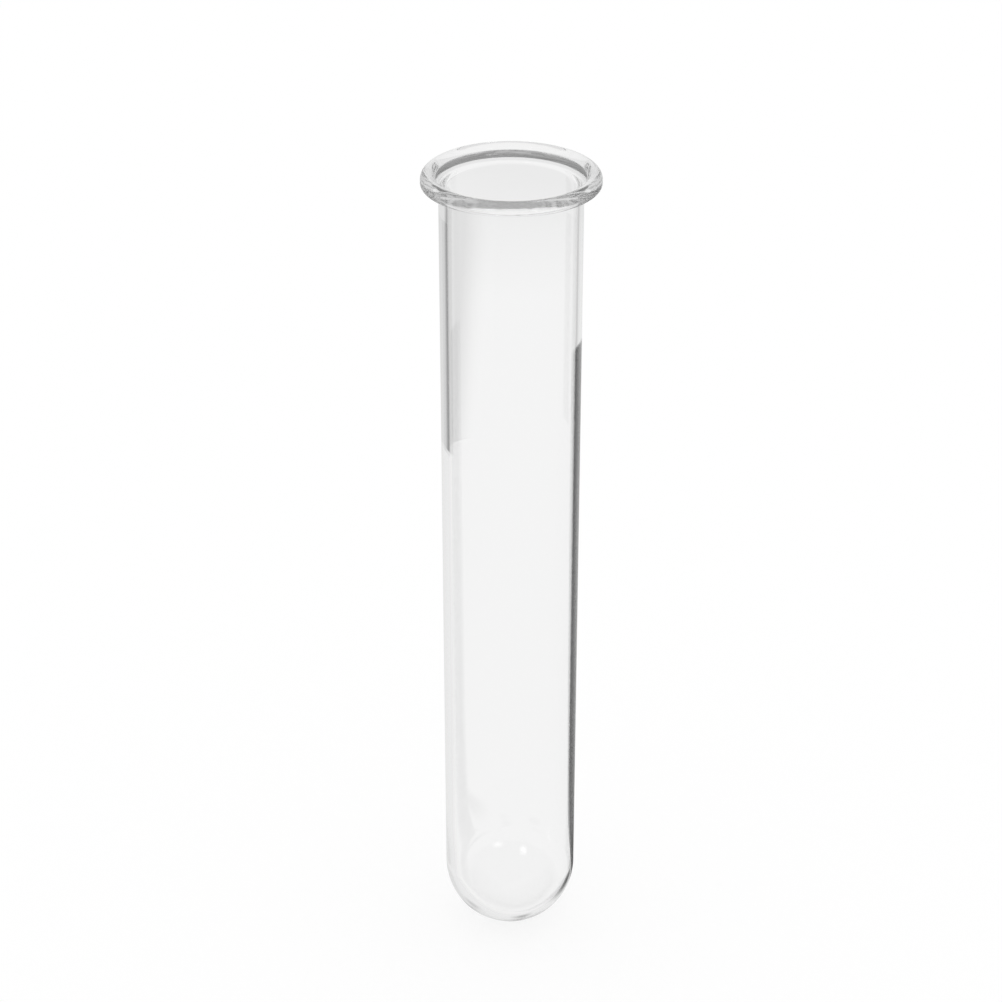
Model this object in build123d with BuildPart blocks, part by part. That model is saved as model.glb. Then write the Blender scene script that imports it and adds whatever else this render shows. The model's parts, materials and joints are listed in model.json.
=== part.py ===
from build123d import *

import os
from math import acos, cos, degrees, radians, sin, tan

# A round-bottomed test tube of clear glass, hung by its flared lip as a vase for one stem.
# It is a single piece: drawn tubing, closed round at the bottom and turned out flat at the mouth.
# Millimetres, +Z up, origin on the axis at the lowest point of the round bottom.

# Driving dimensions of the tube
length = 150.0  # lowest point of the bottom to the top of the lip
tube_diameter = 24.0  # outside of the straight wall
wall = 1.2  # glass in the straight wall
bottom_thickness = 1.3  # glass gathered at the lowest point, where the end was closed

# Driving dimensions of the lip
lip_overhang = 3.0  # from the outside of the tube to the edge of the lip
lip_edge_radius = 1.3  # melted bead that runs round the top of the edge
lip_band_height = 0.45  # straight face of the edge, below the bead
lip_corner_radius = 0.5  # turn from that face to the underside
underside_angle = 2.5  # slope of the nearly flat underside, in degrees
collar_radius = 0.5  # hollow turn from the outside of the tube into the underside
funnel_angle = 30.0  # slope of the funnel inside the bead, in degrees
funnel_depth = 1.9  # top of the lip down to where the funnel's slope would meet the bore
bead_root_radius = 0.2  # hollow turn from the bead down into the funnel
throat_radius = 2.2  # full turn from the funnel down into the bore

# Radii and heights that follow from them
tube_radius = tube_diameter / 2
bore_radius = tube_radius - wall
rim_radius = tube_radius + lip_overhang
bore_floor = bottom_thickness + bore_radius
edge_height = length - lip_edge_radius

# The outside climbs the wall, turns out along the underside and up the edge
lip_low = Vector(rim_radius, edge_height - lip_band_height - lip_corner_radius)
collar = Vector(tube_radius, lip_low.Y - lip_overhang * tan(radians(underside_angle)))

# The bead turns from the edge over the top until it meets the funnel
funnel_slope = radians(funnel_angle)
across_funnel = Vector(-sin(funnel_slope), cos(funnel_slope))
throat = Vector(bore_radius, length - funnel_depth)
bead_center = Vector(rim_radius - lip_edge_radius, edge_height)
funnel_above_bead_center = (throat - bead_center).dot(across_funnel)
bead_turn = 90 + funnel_angle + degrees(acos(funnel_above_bead_center / lip_edge_radius))

# Half of the glass as it would show if the tube were sawn through the axis, turned a full circle
with BuildPart() as glass_tube:
    with BuildSketch(Plane.XZ) as glass_section:
        with BuildLine():
            CenterArc((0, tube_radius), tube_radius, -90, 90)
            FilletPolyline(
                (tube_radius, tube_radius),
                collar,
                lip_low,
                (rim_radius, edge_height),
                radius=[collar_radius, lip_corner_radius],
            )
            bead = CenterArc(bead_center, lip_edge_radius, 0, bead_turn)
            bead_root = bead @ 1
            FilletPolyline(bead_root, throat, (bore_radius, bore_floor), radius=throat_radius)
            CenterArc((0, bore_floor), bore_radius, 0, -90)
            Line((0, bottom_thickness), (0, 0))
        make_face()
        fillet(glass_section.vertices().sort_by_distance(bead_root)[0], bead_root_radius)
    revolve(axis=Axis.Z)

glass_tube.part.label = "glass_tube"

os.makedirs("parts", exist_ok=True)
export_step(glass_tube.part, "parts/glass_tube.step")
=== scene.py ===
# %% [markdown]
# # A test tube vase in clear glass
# A test tube is one wall of clear glass, closed round at the bottom and flared at the mouth. It has no
# colour of its own: everything the eye sees is light that the wall has bent, mirrored or dimmed. So this
# lesson spends its care on three things: a true section of the glass, a glass that is a little uneven as
# drawn glass is, and a white studio that gives the glass something to bend.

# %% Load the frame
import json

import bpy
import numpy as np
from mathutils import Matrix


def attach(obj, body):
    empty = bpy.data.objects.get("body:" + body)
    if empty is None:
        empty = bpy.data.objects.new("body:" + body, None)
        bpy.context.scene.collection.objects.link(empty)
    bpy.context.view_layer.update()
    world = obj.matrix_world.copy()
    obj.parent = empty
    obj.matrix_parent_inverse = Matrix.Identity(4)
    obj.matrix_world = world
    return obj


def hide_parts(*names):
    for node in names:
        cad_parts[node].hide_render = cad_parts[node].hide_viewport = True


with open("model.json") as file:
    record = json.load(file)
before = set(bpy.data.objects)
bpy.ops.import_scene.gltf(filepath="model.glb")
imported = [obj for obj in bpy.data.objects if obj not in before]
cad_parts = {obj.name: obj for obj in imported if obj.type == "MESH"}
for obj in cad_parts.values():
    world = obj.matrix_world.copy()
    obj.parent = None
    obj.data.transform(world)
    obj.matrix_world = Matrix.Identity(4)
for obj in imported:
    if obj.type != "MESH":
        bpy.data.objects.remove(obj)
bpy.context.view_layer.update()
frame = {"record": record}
MM = 0.001

# %% [markdown]
# ## The sizes of the glass
# The overall sizes come from the frame, so the dressed tube is as long and as wide as the solid that it
# stands for, to a tenth of a millimetre. The finer sizes of the lip are those of a mouth turned out in the
# flame: a bead along the melted edge, a nearly flat underside, and a short funnel inside. They are typed
# once, in millimetres and degrees.

# %% Sizes in millimetres and degrees
record = frame["record"]
mount_radius = {mount["name"]: mount["dims"]["r_mm"] for mount in record["mounts"]}
length = record["size"]["bbox_m"][2] / MM
rim_radius = record["size"]["bbox_m"][0] / MM / 2
tube_radius = mount_radius["tube_body"]
bore_radius = mount_radius["tube_bore"]
bottom_thickness = 1.3
lip_edge_radius = 1.3
lip_band_height = 0.45
lip_corner_radius = 0.5
underside_angle = 2.5
collar_radius = 0.5
funnel_angle = 30.0
funnel_depth = 1.9
bead_root_radius = 0.2
throat_radius = 2.2
print(f"length {length:.1f}, rim {rim_radius:.2f}, tube {tube_radius:.2f}, bore {bore_radius:.2f}")

# %% [markdown]
# ## The section
# Glassblowers think of a vessel as its section, the shape that shows if it is sawn in half. A cylinder
# with a hole would give the wall but not the lip, and a sculpted mesh would never be round. A section
# made of straight runs and arcs that meet smoothly is exact, and light shows every corner that isn't.
# The lip's flat underside matters most: seen from above through the funnel it is a mirror, and it puts a
# grey ring inside the mouth. Along the front of the lip light is trapped: it is mirrored many times
# between the faces of the glass, and comes out dimmed.


# %% Runs, arcs and rounded corners
def arc(center, radius, start, end, steps):
    """Points on a circle about center: center + radius (cos a, sin a), a from start to end in degrees."""
    angle = np.radians(np.linspace(start, end, steps))
    return np.asarray(center) + radius * np.column_stack((np.cos(angle), np.sin(angle)))


def run(start, end, steps):
    """Points on the straight way from start to end: start (1 - t) + end t."""
    share = np.linspace(0, 1, steps)[:, None]
    return np.asarray(start) * (1 - share) + np.asarray(end) * share


def rounded(before, corner, after, radius, steps):
    """The arc that rounds a corner: its center lies radius / sin(half the corner) along the middle line."""
    back, on = (np.subtract(point, corner) for point in (before, after))
    back, on = back / np.hypot(*back), on / np.hypot(*on)
    half = np.arccos(back @ on) / 2
    center = corner + (back + on) / np.hypot(*(back + on)) * radius / np.sin(half)
    start, end = (corner + way * radius / np.tan(half) - center for way in (back, on))
    first = np.degrees(np.arctan2(start[1], start[0]))
    turn = np.degrees(np.arctan2(start[0] * end[1] - start[1] * end[0], start @ end))
    return arc(center, radius, first, first + turn, steps)


# %% The section of the tube
bottom_steps = 56
wall_steps = 60
turn_steps = 14
slope_steps = 8
edge_steps = 4
bead_steps = 48
root_steps = 8
throat_steps = 22


def glass_section():
    """The cut edge of half the tube as (radius, height): up the outside, over the lip, down the bore.

    The outside turns out along the underside and up the edge. The bead's root is the circle that touches
    both the bead and the funnel, and the throat rounds the corner between the funnel and the bore.
    """
    edge_height = length - lip_edge_radius
    foot, edge_top = np.array([tube_radius, tube_radius]), np.array([rim_radius, edge_height])
    lip_low = edge_top - [0, lip_band_height + lip_corner_radius]
    collar_point = lip_low - (rim_radius - tube_radius) * np.array([1, np.tan(np.radians(underside_angle))])
    collar = rounded(foot, collar_point, lip_low, collar_radius, turn_steps)
    corner = rounded(collar_point, lip_low, edge_top, lip_corner_radius, turn_steps)

    slope = np.radians(funnel_angle)
    along = np.array([np.cos(slope), np.sin(slope)])
    across = np.array([-np.sin(slope), np.cos(slope)])
    bead_center = edge_top - [lip_edge_radius, 0]
    throat_point = np.array([bore_radius, length - funnel_depth])
    root_across = (throat_point - bead_center) @ across + bead_root_radius
    root_along = -np.sqrt((lip_edge_radius + bead_root_radius) ** 2 - root_across**2)
    root_center = bead_center + along * root_along + across * root_across
    bead_end = np.degrees(np.arctan2(*(root_center - bead_center)[::-1])) % 360
    root = arc(root_center, bead_root_radius, bead_end - 180, funnel_angle - 90, root_steps)
    bore_floor = np.array([bore_radius, bottom_thickness + bore_radius])
    throat = rounded(root[-1], throat_point, bore_floor, throat_radius, throat_steps)

    pieces = (
        arc((0, tube_radius), tube_radius, -90, 0, bottom_steps),
        run(foot, collar[0], wall_steps),
        collar,
        run(collar[-1], corner[0], slope_steps),
        corner,
        run(corner[-1], edge_top, edge_steps),
        arc(bead_center, lip_edge_radius, 0, bead_end, bead_steps),
        root,
        run(root[-1], throat[0], slope_steps),
        throat,
        run(throat[-1], bore_floor, wall_steps),
        arc((0, bore_floor[1]), bore_radius, 0, -90, bottom_steps),
    )
    return np.vstack([piece[:-1] for piece in pieces[:-1]] + [pieces[-1]])


section = glass_section()
print("section points:", len(section))

# %% [markdown]
# ## Drawn glass isn't perfect
# A tube is drawn from the melt, so its bore lies a little off the middle, and its mouth and bottom were
# shaped by hand in a flame, so they wave a little. These are tenths of a millimetre or less, too little
# to see as a shape, yet light that is mirrored again and again in the lip shows them. The unevenness is
# added to the points of the surface, because light in glass answers to the true shape on both sides.

# %% Unevenness
bore_shift = 0.12
bottom_shift = 0.35
lip_wave = 0.07
lip_lump = 0.012
bottom_wave = 0.12
shift_past_top = (2.0, 9.0)  # way past the lip's top where the bore starts to move aside and has moved
lip_below_top = (5.0, 1.0)  # depth below the top where the lip's waves start and are full
radius_phase = 0.7  # how far each wavy line is turned round the tube, in radians
height_phase = 2.3
bottom_phase = 1.1


def smooth_step(value, start, end):
    """0 before start, 1 after end, and 3t^2 - 2t^3 between them."""
    share = np.clip((value - start) / (end - start), 0, 1)
    return share**2 * (3 - 2 * share)


def waves(angle, phase):
    """A gentle uneven line round the tube: a few sines of 2, 3, 5 and 9 waves, between about -1 and 1."""
    return sum(
        np.sin(count * angle + phase * count) * weight
        for count, weight in ((2, 0.4), (3, 0.3), (5, 0.2), (9, 0.1))
    )


def lumps(angle, travel):
    """Small uneven lumps: three sines that run askew, of 17, 29 and 43 waves round and 3 to 1.5 mm along."""
    askew = ((17, 1.9), (29, -2.7), (43, 4.1))
    return sum(np.sin(count * angle + slant * travel) for count, slant in askew) / 3


# %% The section carried round
def turned_points(section, angle):
    """The section carried round the Z axis as (r cos a + shift, r sin a, z), with its unevenness.

    The lip waves in radius and height and has small lumps along its normal. Past its top the rings move
    aside, and the inside of the round bottom moves further aside and waves in height.
    """
    radius, height = section[:, :1], section[:, 1:]
    travel = np.concatenate(([0], np.hypot(*np.diff(section, axis=0).T).cumsum()))[:, None]
    top = travel[section[:, 1].argmax()]
    inside = smooth_step(travel, top + shift_past_top[0], top + shift_past_top[1])
    lip = smooth_step(height, length - lip_below_top[0], length - lip_below_top[1])
    low = smooth_step(-height, -2 * bore_radius, -bottom_thickness) * inside
    tangent = np.gradient(section, axis=0)
    normal = tangent[:, ::-1] * [1, -1] / np.hypot(*tangent.T)[:, None]
    lump = lip * lip_lump * (lumps(angle, travel) - 1) / 2
    wavy_radius = radius + lip * lip_wave * (waves(angle, radius_phase) - 1) / 2 + lump * normal[:, :1]
    sag = low * bottom_wave * waves(angle, bottom_phase) * radius / bore_radius
    x = wavy_radius * np.cos(angle) + bore_shift * inside + bottom_shift * low
    y = wavy_radius * np.sin(angle)
    z = height + lip * lip_wave * (waves(angle, height_phase) - 1) / 2 + lump * normal[:, 1:] + sag
    return np.stack((x, y, z), axis=-1)


# %% [markdown]
# ## One closed skin
# Glass must be a closed skin: light enters through one face and leaves through another, and a gap or a
# face turned round would break that. Rings of points joined by quads close the tube from the outer pole
# at its foot, up and over the lip, to the inner pole at the floor of the bore.


# %% Closed skin
def turned_skin(name, section, columns):
    """A closed mesh of the turned section, whose first and last points are poles on the axis."""
    angle = np.linspace(0, 2 * np.pi, columns, endpoint=False)
    rings = turned_points(section, angle)
    poles = rings[[0, -1]].mean(axis=1)
    rings = rings[1:-1]
    points = np.vstack((rings.reshape(-1, 3), poles)) * MM
    index = np.arange(rings.shape[0] * columns).reshape(-1, columns)
    beside = np.roll(index, -1, axis=1)
    quads = np.stack((index[:-1], beside[:-1], beside[1:], index[1:]), axis=-1).reshape(-1, 4)
    outer_pole, inner_pole = len(points) - 2, len(points) - 1
    outer_cap = np.column_stack((beside[0], index[0], np.full(columns, outer_pole)))
    inner_cap = np.column_stack((index[-1], beside[-1], np.full(columns, inner_pole)))
    mesh = bpy.data.meshes.new(name)
    mesh.from_pydata(points.tolist(), [], quads.tolist() + outer_cap.tolist() + inner_cap.tolist())
    mesh.shade_smooth()
    piece = bpy.data.objects.new(name, mesh)
    bpy.context.scene.collection.objects.link(piece)
    return piece


columns = 240
glass = turned_skin("clear_glass_tube", section, columns)
print("triangles:", sum(len(face.vertices) - 2 for face in glass.data.polygons))

# %% [markdown]
# ## Colours and nodes
# Colours are written as the sRGB hex values that a colour picker shows, and Blender's shaders want them
# linear, so one function turns one into the other. Materials are small trees of nodes, and one function
# adds a node with its settings and links, so that each tree below reads as a list.


# %% Colour and nodes
def linear(hex_colour):
    """A colour written as sRGB hex, as Blender's linear red, green, blue and alpha."""
    srgb = np.array([int(hex_colour[i : i + 2], 16) for i in (1, 3, 5)]) / 255
    value = np.where(srgb <= 0.04045, srgb / 12.92, ((srgb + 0.055) / 1.055) ** 2.4)
    return (*value.tolist(), 1.0)


def add(tree, kind, inputs=None, **settings):
    """Adds a node: settings are its own properties, inputs are values or sockets to link."""
    node = tree.nodes.new(kind)
    for name, value in settings.items():
        setattr(node, name, value)
    for name, value in (inputs or {}).items():
        if isinstance(value, bpy.types.NodeSocket):
            tree.links.new(value, node.inputs[name])
        else:
            node.inputs[name].default_value = value
    return node


def new_material(name):
    """An empty material, its tree and its output node."""
    material = bpy.data.materials.new(name)
    material.use_nodes = True
    material.node_tree.nodes.clear()
    return material, material.node_tree, add(material.node_tree, "ShaderNodeOutputMaterial")


# %% [markdown]
# ## The glass
# The tube is borosilicate glass, drawn and then worked in a flame. It is clear, with an index of 1.473, and
# its only marks are those of its making, faint streaks along the draw. A plain glass shader would look
# like a diagram, so the streaks go into the bump and the roughness, and the glass gets a trace of grey in
# its depth, which shows where light runs a long way inside it.

# %% Draw streaks
streak_width = 3.0
streak_length = 90.0


def draw_streaks(tree, place):
    """Soft streaks along the tube, 0 to 1: noise that is stretched from streak_width to streak_length."""
    stretch = (1 / (streak_width * MM), 1 / (streak_width * MM), 1 / (streak_length * MM))
    stretched = add(tree, "ShaderNodeVectorMath", {0: place, 1: stretch}, operation="MULTIPLY")
    return add(
        tree,
        "ShaderNodeTexNoise",
        {"Vector": stretched.outputs[0], "Scale": 1.0, "Detail": 2.0, "Roughness": 0.5},
    )


# %% Clear glass
streak_depth = 0.002
streak_roughness = 0.01
streak_noise = (0.55, 0.8)  # noise at which a streak starts to be rough and is fully so
glass_index = 1.473
depth_colour = "#F2F2F2"
depth_density = 10.0


def borosilicate_glass():
    """Drawn borosilicate: clear and bright, with soft streaks that bend what shows through it."""
    material, tree, output = new_material("drawn_borosilicate_glass")
    place = add(tree, "ShaderNodeTexCoord").outputs["Object"]
    streaks = draw_streaks(tree, place).outputs[0]
    rough = add(
        tree,
        "ShaderNodeMapRange",
        {
            "Value": streaks,
            "From Min": streak_noise[0],
            "From Max": streak_noise[1],
            "To Min": 0.0,
            "To Max": streak_roughness,
        },
    )
    bump = add(tree, "ShaderNodeBump", {"Height": streaks, "Strength": 1.0, "Distance": streak_depth * MM})
    shader = add(
        tree,
        "ShaderNodeBsdfPrincipled",
        {
            "Base Color": linear("#FFFFFF"),
            "Roughness": rough.outputs[0],
            "IOR": glass_index,
            "Transmission Weight": 1.0,
            "Normal": bump.outputs[0],
        },
    )
    depth = {"Color": linear(depth_colour), "Density": depth_density}
    tint = add(tree, "ShaderNodeVolumeAbsorption", depth)
    tree.links.new(shader.outputs["BSDF"], output.inputs["Surface"])
    tree.links.new(tint.outputs["Volume"], output.inputs["Volume"])
    return material


glass.data.materials.append(borosilicate_glass())
print("glass material:", glass.data.materials[0].name)

# %% [markdown]
# ## Joining the frame
# The dressed tube stands for the one solid of the frame, so it rides on the only body and takes the place
# of that solid, which stays behind it for the collisions.

# %% Ride on the frame
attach(glass, "root")
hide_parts("glass_tube")
print("clear_glass_tube rides on root")

# %% [markdown]
# ## The camera
# The camera stands where the outline of the real tube puts it: close, and a good way above the mouth, so
# that the view falls into the tube at the top and the walls draw together towards the bottom.

# %% Camera
camera_side = -1.68
camera_distance = 390.0
camera_height = 299.5
camera_pitch = 28.4
focal_pixels = 2535.0
image_pixels = 1002
camera_data = bpy.data.cameras.new("camera")
camera_data.sensor_width = 36.0
camera_data.lens = focal_pixels / image_pixels * camera_data.sensor_width
camera = bpy.data.objects.new("camera", camera_data)
camera.location = np.array([camera_side, -camera_distance, camera_height]) * MM
camera.rotation_euler = (np.radians(90 - camera_pitch), 0, 0)
bpy.context.scene.collection.objects.link(camera)
bpy.context.scene.camera = camera
bpy.context.scene.view_settings.view_transform = "Standard"
print(f"lens {camera_data.lens:.1f} mm")

# %% [markdown]
# ## Light inside the glass
# In the lip and the round bottom, light is mirrored many times before it gets out, and a path that is cut
# short turns black, so the limits on bounces are raised. In a real studio, light that was mirrored comes
# from other places than light that went straight through, and finds them brighter or dimmer. This studio
# is simpler: its floor and room answer by how often the light was mirrored, with levels found by trial.

# %% Bounces and levels
cycles = bpy.context.scene.cycles
cycles.max_bounces = 512
cycles.glossy_bounces = 512
cycles.transmission_bounces = 128
cycles.diffuse_bounces = 4
floor_levels = (0.92, 0.85, 0.97, 0.7, 0.7)
room_levels = (0.965, 0.7, 0.97, 0.7, 0.7)


def answer_by_mirrorings(tree, levels):
    """Strength for light that was mirrored 0, 1, 2, ... times; the last level serves all above."""
    path = add(tree, "ShaderNodeLightPath")
    count = len(levels)
    share = add(tree, "ShaderNodeMath", {0: path.outputs["Glossy Depth"], 1: count}, operation="DIVIDE")
    ramp = add(tree, "ShaderNodeValToRGB", {"Fac": share.outputs[0]})
    stops = ramp.color_ramp
    stops.interpolation = "CONSTANT"
    while len(stops.elements) < count:
        stops.elements.new(0.5)
    for i, level in enumerate(levels):
        stops.elements[i].position = max(0.0, (i - 0.5) / count)
        stops.elements[i].color = (level, level, level, 1.0)
    return ramp.outputs["Color"]


# %% [markdown]
# ## The floor
# White paper lies just below the tube. Most of its white is its own, so that it stays even, and the rest
# answers to the light, so that it keeps the soft shadow at the foot of the tube. What the glass shows of
# the paper is a little dimmer further behind, which greys the inside of the mouth.

# %% Sheets and floor
floor_half = 3000.0
floor_level = -0.2
cloth_level = -0.1
paper_shade = 0.2
paper_own = 0.846
paper_near = (290.0, 1.0)
paper_far = (390.0, 0.9)


def staged_sheet(name, points, faces, material, seen=True):
    """A sheet of the studio through points in millimetres; an unseen one shows only in the glass."""
    mesh = bpy.data.meshes.new(name)
    mesh.from_pydata((np.asarray(points) * MM).tolist(), [], faces)
    mesh.materials.append(material)
    sheet = bpy.data.objects.new(name, mesh)
    bpy.context.scene.collection.objects.link(sheet)
    sheet.visible_camera = seen
    sheet.visible_diffuse = seen
    sheet.visible_shadow = seen


def level_between(tree, place, first, second):
    """A level that goes evenly from first to second, each given as (place in millimetres, level)."""
    return add(
        tree,
        "ShaderNodeMapRange",
        {
            "Value": place,
            "From Min": first[0] * MM,
            "From Max": second[0] * MM,
            "To Min": first[1],
            "To Max": second[1],
        },
    ).outputs[0]


def white_paper():
    """Matt white paper: seen straight it keeps a shadow, and in the glass it answers by mirrorings."""
    material, tree, output = new_material("white_paper_floor")
    path = add(tree, "ShaderNodeLightPath")
    paper = add(tree, "ShaderNodeBsdfDiffuse", {"Color": (paper_shade, paper_shade, paper_shade, 1)})
    own = add(tree, "ShaderNodeEmission", {"Strength": paper_own})
    seen = add(tree, "ShaderNodeAddShader", {0: paper.outputs[0], 1: own.outputs[0]})
    place = add(tree, "ShaderNodeTexCoord").outputs["Object"]
    behind = add(tree, "ShaderNodeSeparateXYZ", {0: place}).outputs["Y"]
    dimmer = level_between(tree, behind, paper_near, paper_far)
    answer = answer_by_mirrorings(tree, floor_levels)
    in_glass = add(tree, "ShaderNodeEmission", {"Color": answer, "Strength": dimmer})
    mix = add(
        tree,
        "ShaderNodeMixShader",
        {0: path.outputs["Is Camera Ray"], 1: in_glass.outputs[0], 2: seen.outputs[0]},
    )
    tree.links.new(mix.outputs[0], output.inputs["Surface"])
    return material


floor_sides = ((-1, -1), (1, -1), (1, 1), (-1, 1))
floor_corners = [(x * floor_half, y * floor_half, floor_level) for x, y in floor_sides]
staged_sheet("paper_floor", floor_corners, [(0, 1, 2, 3)], white_paper())
print("floor at", floor_level, "mm")

# %% [markdown]
# ## Cloths beside the tube
# A photographer draws the edges of clear glass with dark cloth that only the glass sees: the walls mirror
# what lies beside and behind the tube. A black cloth on the right gives the dark line down the right wall,
# and a grey one further off carries that line on as a fine one.


# %% Cloth on the floor
sector_rings = 3
sector_rays = 90


def floor_sector(radii, azimuths):
    """A flat ring sector: points (r sin a, r cos a) on a grid of radii and azimuths from straight behind."""
    r = np.linspace(*radii, sector_rings)[:, None]
    a = np.radians(np.linspace(*azimuths, sector_rays))
    x, y = r * np.sin(a), r * np.cos(a)
    points = np.stack((x, y, np.full_like(x, cloth_level)), -1).reshape(-1, 3)
    index = np.arange(len(points)).reshape(x.shape)
    quads = np.stack((index[:-1, :-1], index[:-1, 1:], index[1:, 1:], index[1:, :-1]), -1).reshape(-1, 4)
    return points, quads.tolist()


def level_by_azimuth(tree, place, first, second):
    """A level that goes evenly from first to second, each given as (azimuth in degrees, level)."""
    parts = add(tree, "ShaderNodeSeparateXYZ", {0: place})
    angle = add(tree, "ShaderNodeMath", {0: parts.outputs["X"], 1: parts.outputs["Y"]}, operation="ARCTAN2")
    return add(
        tree,
        "ShaderNodeMapRange",
        {
            "Value": angle.outputs[0],
            "From Min": np.radians(first[0]),
            "From Max": np.radians(second[0]),
            "To Min": first[1],
            "To Max": second[1],
        },
    ).outputs[0]


def mirrored_once(tree):
    """1 for light that the glass has mirrored once, and 0 for all other light."""
    depth = add(tree, "ShaderNodeLightPath").outputs["Glossy Depth"]
    return add(tree, "ShaderNodeMath", {0: depth, 1: 1.0, 2: 0.5}, operation="COMPARE").outputs[0]


def studio_cloth(name, first, second):
    """Cloth that shows only in light mirrored once by the glass, and is clear to all other light."""
    material, tree, output = new_material(name)
    place = add(tree, "ShaderNodeTexCoord").outputs["Object"]
    once = mirrored_once(tree)
    clear = add(tree, "ShaderNodeBsdfTransparent")
    cloth = add(tree, "ShaderNodeEmission", {"Strength": level_by_azimuth(tree, place, first, second)})
    mix = add(tree, "ShaderNodeMixShader", {0: once, 1: clear.outputs[0], 2: cloth.outputs[0]})
    tree.links.new(mix.outputs[0], output.inputs["Surface"])
    return material


black_cloth_end = 263.0
cloths = (
    ("black_cloth", (3.0, black_cloth_end), (8.0, 60.0), (10.0, 0.4), (40.0, 0.07)),
    ("grey_cloth", (black_cloth_end, 1500.0), (37.0, 60.0), (37.0, 0.6), (60.0, 0.6)),
)
for name, radii, azimuths, first, second in cloths:
    staged_sheet(name, *floor_sector(radii, azimuths), studio_cloth(name, first, second), seen=False)
    print(name, "from", radii[0], "to", radii[1], "mm")

# %% [markdown]
# ## Marks round the foot
# The round bottom mirrors what lies close to its foot. Four soft dark streaks on the paper, which only the
# glass sees, carry the dark line of the right wall on round the bottom and draw its lower edge. A hard edge
# would show in the glass, so each streak fades out from its middle.


# %% Soft streaks on the floor
def soft_fade(tree, center, side, up, middle):
    """A level that fades from middle to 0 where (across / side)^2 + (along / up)^2 is 1."""
    place = add(tree, "ShaderNodeTexCoord").outputs["Object"]
    offset = add(tree, "ShaderNodeVectorMath", {0: place, 1: tuple(center * MM)}, operation="SUBTRACT")
    measures = [{0: offset.outputs[0], 1: tuple(way / (way @ way) / MM)} for way in (side, up)]
    across, along = (
        add(tree, "ShaderNodeVectorMath", measure, operation="DOT_PRODUCT").outputs["Value"]
        for measure in measures
    )
    flat = add(tree, "ShaderNodeCombineXYZ", {0: across, 1: along}).outputs[0]
    from_middle = add(tree, "ShaderNodeVectorMath", {0: flat}, operation="LENGTH").outputs["Value"]
    return add(
        tree,
        "ShaderNodeMapRange",
        {"Value": from_middle, "To Min": middle, "To Max": 0.0},
        interpolation_type="SMOOTHSTEP",
    ).outputs[0]


def four_corners(center, side, up):
    """The corners of a flat card that reaches side and up both ways from its center."""
    return [center + i * side + j * up for i, j in ((-1, -1), (1, -1), (1, 1), (-1, 1))]


def foot_streak(name, start, end, width, level):
    """A soft streak on the floor between two places, each given as (mm from the axis, azimuth)."""
    start, end = (
        np.array([r * np.sin(np.radians(a)), r * np.cos(np.radians(a)), cloth_level])
        for r, a in (start, end)
    )
    center, along = (start + end) / 2, (end - start) / 2
    across = np.cross(along, [0, 0, 1]) / np.linalg.norm(along) * width / 2
    material, tree, output = new_material(name)
    fade = soft_fade(tree, center, along, across, 1.0)
    share = add(tree, "ShaderNodeMath", {0: fade, 1: mirrored_once(tree)}, operation="MULTIPLY")
    clear = add(tree, "ShaderNodeBsdfTransparent")
    dark = add(tree, "ShaderNodeEmission", {"Strength": level})
    mix = add(tree, "ShaderNodeMixShader", {0: share.outputs[0], 1: clear.outputs[0], 2: dark.outputs[0]})
    tree.links.new(mix.outputs[0], output.inputs["Surface"])
    staged_sheet(name, four_corners(center, along, across), [(0, 1, 2, 3)], material, seen=False)


foot_streaks = (
    ("right_streak", (32.3, 55.0), (14.5, 134.0), 11.0, 0.0),
    ("front_streak", (8.8, 136.0), (7.2, 188.0), 3.2, 0.3),
    ("low_front_streak", (5.2, 140.0), (4.2, 200.0), 2.6, 0.35),
    ("left_streak", (11.5, -78.0), (9.0, -128.0), 4.0, 0.45),
)
for name, start, end, width, level in foot_streaks:
    foot_streak(name, start, end, width, level)
print("streaks at the foot:", len(foot_streaks))

# %% [markdown]
# ## The grey card
# On the left the tube shows a grey field that ends half way down: a grey card lying behind it to the left,
# seen straight through the glass. Its right edge is soft, and its far left side is darker, which draws the
# dark line where the left wall begins.

# %% Grey card
card_radii = (200.0, 358.0)
card_azimuths = (-62.0, -2.0)
card_edge_x = -45.0
card_edge_y = 200.0
card_edge_slope = 0.07
card_edge_fade = 22.0
card_left = (-44.0, 0.28)  # azimuth in degrees, level
card_right = (-35.0, 0.72)


def grey_card():
    """Card that is grey by azimuth, and clear past its right edge, a line x = edge + slope (y - edge y)."""
    material, tree, output = new_material("grey_card")
    place = add(tree, "ShaderNodeTexCoord").outputs["Object"]
    parts = add(tree, "ShaderNodeSeparateXYZ", {0: place})
    past = add(
        tree,
        "ShaderNodeMath",
        {0: parts.outputs["Y"], 1: -card_edge_slope, 2: parts.outputs["X"]},
        operation="MULTIPLY_ADD",
    )
    edge = card_edge_x - card_edge_slope * card_edge_y
    faded = add(
        tree,
        "ShaderNodeMapRange",
        {
            "Value": past.outputs[0],
            "From Min": (edge - card_edge_fade) * MM,
            "From Max": (edge + card_edge_fade) * MM,
        },
        interpolation_type="SMOOTHSTEP",
    )
    grey = level_by_azimuth(tree, place, card_left, card_right)
    card = add(tree, "ShaderNodeEmission", {"Strength": grey})
    clear = add(tree, "ShaderNodeBsdfTransparent")
    mix = add(tree, "ShaderNodeMixShader", {0: faded.outputs[0], 1: card.outputs[0], 2: clear.outputs[0]})
    tree.links.new(mix.outputs[0], output.inputs["Surface"])
    return material


staged_sheet("grey_card", *floor_sector(card_radii, card_azimuths), grey_card(), seen=False)
print("grey card from", card_radii[0], "to", card_radii[1], "mm")

# %% [markdown]
# ## The lamps
# Two soft lamps stand in front of the tube, a wide one on the right near the floor and a tall one on the
# left. They are cards that shine, turned to the tube and fading to nothing at their edges, as a lamp behind
# a cloth does. The inside of the round bottom mirrors them as two soft spots.


# %% Lamps
lamp_distance = 600.0


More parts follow.
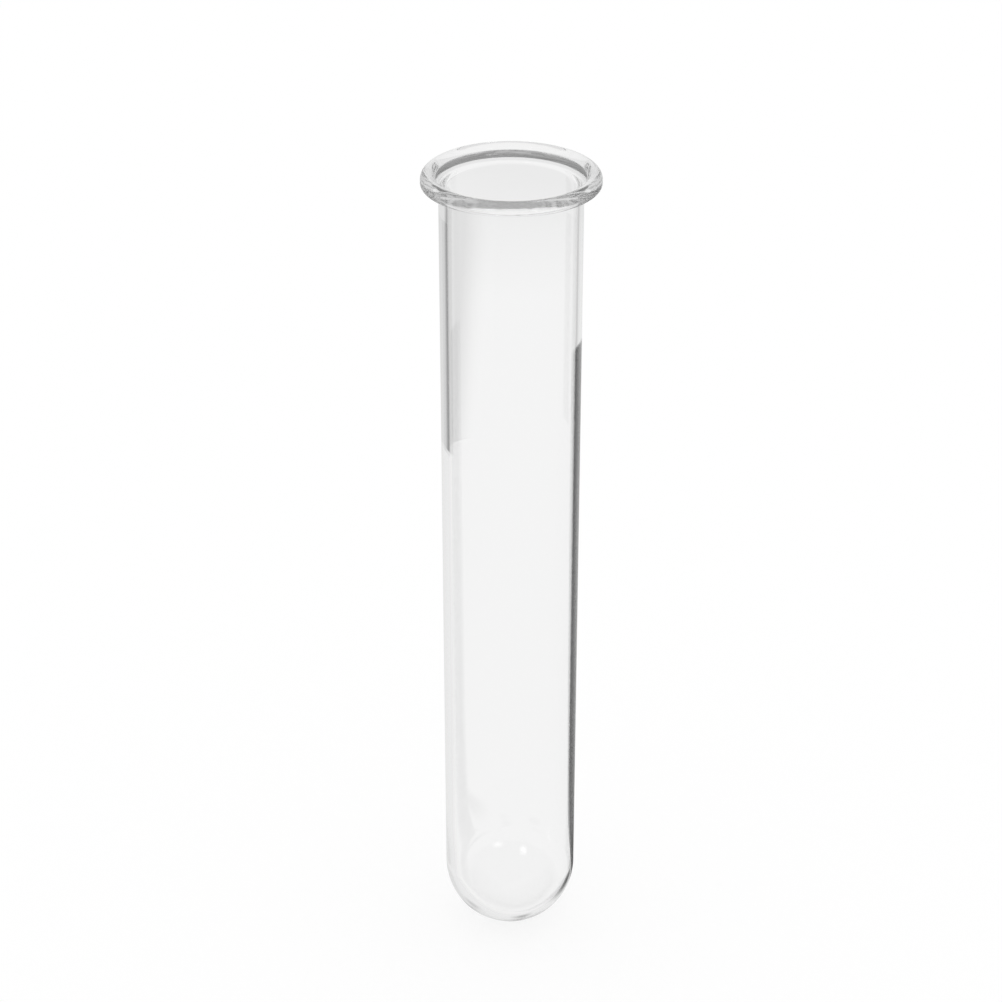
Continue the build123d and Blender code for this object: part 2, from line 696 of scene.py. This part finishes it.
def lamp_card(name, azimuth, height, size, strength):
    """A card of a width and a height, lamp_distance away in a direction, that faces the tube's axis.

    It is clear to light that has passed one or two faces of the glass, so that no lamp shows in the
    inner face of the near wall.
    """
    a = np.radians(azimuth)
    toward = np.array([np.sin(a), np.cos(a), 0.0])
    side = np.array([-toward[1], toward[0], 0.0]) * size[0] / 2
    up = np.array([0.0, 0.0, 1.0]) * size[1] / 2
    center = toward * lamp_distance + [0, 0, height]
    material, tree, output = new_material(name)
    path = add(tree, "ShaderNodeLightPath")
    in_wall = add(
        tree, "ShaderNodeMath", {0: path.outputs["Transmission Depth"], 1: 1.5, 2: 1.0}, operation="COMPARE"
    )
    glow = add(tree, "ShaderNodeEmission", {"Strength": soft_fade(tree, center, side, up, strength)})
    clear = add(tree, "ShaderNodeBsdfTransparent")
    lit = add(tree, "ShaderNodeAddShader", {0: glow.outputs[0], 1: clear.outputs[0]})
    mix = add(tree, "ShaderNodeMixShader", {0: in_wall.outputs[0], 1: lit.outputs[0], 2: clear.outputs[0]})
    tree.links.new(mix.outputs[0], output.inputs["Surface"])
    staged_sheet(name, four_corners(center, side, up), [(0, 1, 2, 3)], material, seen=False)


lamps = (
    ("wide_lamp", 154.0, 60.0, (240.0, 200.0), 2.5),
    ("tall_lamp", 207.0, 190.0, (150.0, 320.0), 4.0),
)
for lamp in lamps:
    lamp_card(*lamp)
print("lamps:", len(lamps))

# %% [markdown]
# ## The room
# The room is plain white, and dimmer where the glass mirrors it once, or three times and more. Above and
# behind the tube hangs a dim ceiling, patchy and dimmer further back. The lip's flat underside mirrors it
# towards the eye, and that is the grey ring inside the mouth: no mark is on the glass itself.

# %% Ceiling
ceiling_height = 1000.0
ceiling_half = 6000.0
ceiling_near = (600.0, 0.34)
ceiling_far = (2400.0, 0.12)
ceiling_patch = (60.0, 350.0)
patch_noise = (0.3, 0.7)  # noise at which a patch is dimmest and brightest
patch_levels = (0.65, 1.4)  # what the ceiling's level is multiplied with there
many_mirrorings = 3.0
many_mirrorings_level = 0.7


def dim_ceiling():
    """A ceiling that shows only in light mirrored inside the glass, and is clear to all other light.

    Its level goes from ceiling_near to ceiling_far, each given as (millimetres behind the tube, level),
    times a noise of long patches, ceiling_patch wide and long.
    Light that was mirrored many_mirrorings times or more finds one lighter level.
    """
    material, tree, output = new_material("dim_ceiling")
    path = add(tree, "ShaderNodeLightPath")
    depths = {0: path.outputs["Glossy Depth"], 1: path.outputs["Transmission Depth"]}
    both = add(tree, "ShaderNodeMath", depths, operation="MINIMUM")
    mirrored = add(tree, "ShaderNodeMath", {0: both.outputs[0], 1: 0.5}, operation="GREATER_THAN")
    often = {0: path.outputs["Glossy Depth"], 1: many_mirrorings - 0.5}
    many = add(tree, "ShaderNodeMath", often, operation="GREATER_THAN")
    place = add(tree, "ShaderNodeTexCoord").outputs["Object"]
    behind = add(tree, "ShaderNodeSeparateXYZ", {0: place}).outputs["Y"]
    shade = level_between(tree, behind, ceiling_near, ceiling_far)
    stretch = (1 / (ceiling_patch[0] * MM), 1 / (ceiling_patch[1] * MM), 1.0)
    stretched = add(tree, "ShaderNodeVectorMath", {0: place, 1: stretch}, operation="MULTIPLY")
    patches = add(tree, "ShaderNodeTexNoise", {"Vector": stretched.outputs[0], "Scale": 1.0, "Detail": 2.0})
    uneven = {
        "Value": patches.outputs[0],
        "From Min": patch_noise[0],
        "From Max": patch_noise[1],
        "To Min": patch_levels[0],
        "To Max": patch_levels[1],
    }
    unevenness = add(tree, "ShaderNodeMapRange", uneven)
    patchy = {0: shade, 1: unevenness.outputs[0]}
    patchy_shade = add(tree, "ShaderNodeMath", patchy, operation="MULTIPLY")
    level = add(
        tree,
        "ShaderNodeMix",
        {"Factor": many.outputs[0], "A": patchy_shade.outputs[0], "B": many_mirrorings_level},
        data_type="FLOAT",
    )
    clear = add(tree, "ShaderNodeBsdfTransparent")
    glow = add(tree, "ShaderNodeEmission", {"Strength": level.outputs[0]})
    mix = add(tree, "ShaderNodeMixShader", {0: mirrored.outputs[0], 1: clear.outputs[0], 2: glow.outputs[0]})
    tree.links.new(mix.outputs[0], output.inputs["Surface"])
    return material


ceiling_sides = ((-1, 0), (1, 0), (1, 1), (-1, 1))
ceiling_corners = [(x * ceiling_half, y * ceiling_half, ceiling_height) for x, y in ceiling_sides]
staged_sheet("dim_ceiling", ceiling_corners, [(0, 1, 2, 3)], dim_ceiling(), seen=False)
print("ceiling at", ceiling_height, "mm")

# %% Room
world = bpy.data.worlds.new("white_room")
bpy.context.scene.world = world
world.use_nodes = True
room = world.node_tree
room.nodes.clear()
seen_straight = add(room, "ShaderNodeLightPath").outputs["Is Camera Ray"]
mirrored_level = answer_by_mirrorings(room, room_levels)
level = add(room, "ShaderNodeMath", {0: mirrored_level, 1: seen_straight}, operation="MAXIMUM")
backdrop = add(room, "ShaderNodeBackground", {"Strength": level.outputs[0]})
add(room, "ShaderNodeOutputWorld", {"Surface": backdrop.outputs["Background"]})
print("room levels:", room_levels)
